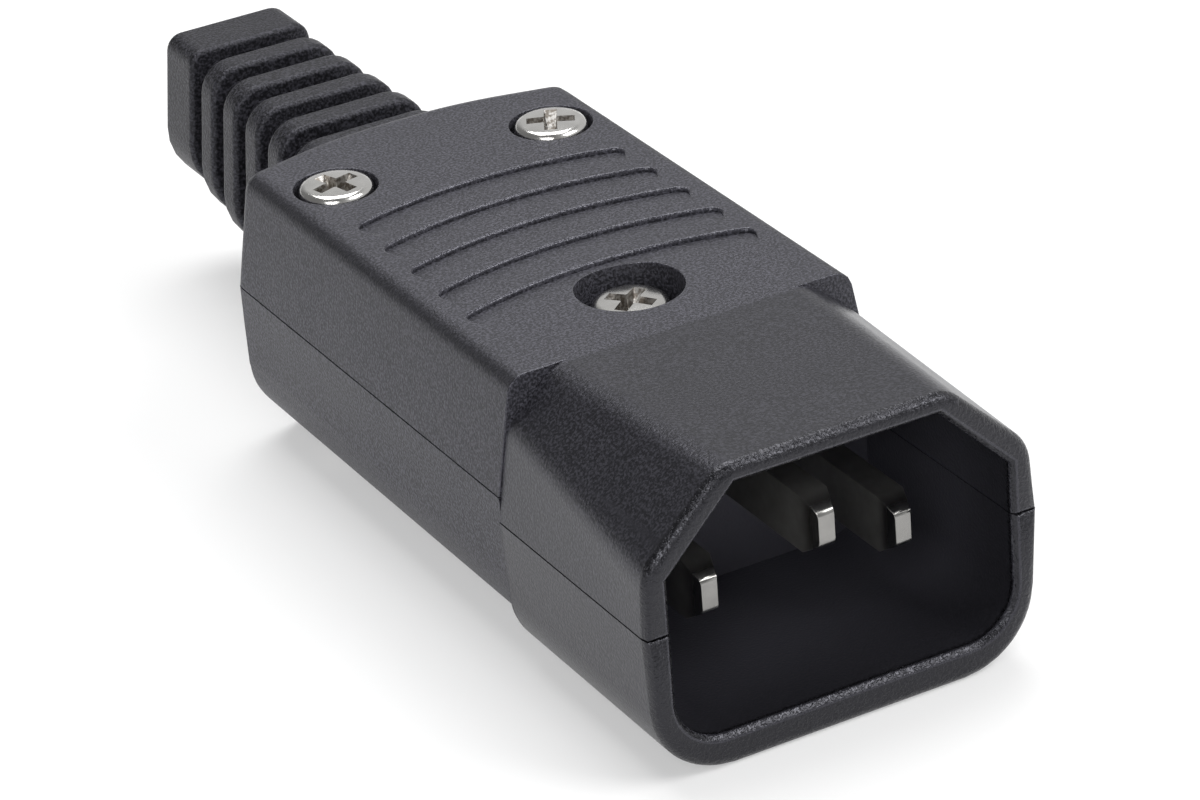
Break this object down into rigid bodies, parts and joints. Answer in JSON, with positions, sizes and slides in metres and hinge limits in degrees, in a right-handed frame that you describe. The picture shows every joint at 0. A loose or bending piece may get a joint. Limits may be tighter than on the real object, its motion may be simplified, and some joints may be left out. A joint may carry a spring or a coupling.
{
  "type": "rewirable power plug",
  "caption": "Rewirable male appliance power plug: split moulded housing with a chamfered shroud round recessed blades, screwed cover, grip steps and a ribbed strain-relief boot.",
  "frame": {"origin": "on the flat underside, on the middle plane, below the line where the body meets the shroud", "axes": "+Y from the blades to the cord, +Z from the flat underside to the screwed top, +X across the width"},
  "size_m": [0.028, 0.0866, 0.0205],
  "materials": {
    "housing": "fine matte moulded texture",
    "boot": "soft matte",
    "contacts": "nickel plated",
    "steel": "bright plated"
  },
  "bodies": {
    "root": {"upper_shell": "housing", "lower_shell": "housing", "strain_relief_boot": "boot", "line_pin": "contacts", "neutral_pin": "contacts", "earth_pin": "contacts", "line_terminal_screw": "steel", "neutral_terminal_screw": "steel", "earth_terminal_screw": "steel", "cable_clamp_bar": "steel", "clamp_screw_left": "steel", "clamp_screw_right": "steel", "housing_screw_rear_left": "steel", "housing_nut_rear_left": "steel", "housing_screw_rear_right": "steel", "housing_nut_rear_right": "steel", "housing_screw_centre": "steel", "housing_nut_centre": "steel"}
  },
  "joints": []
}
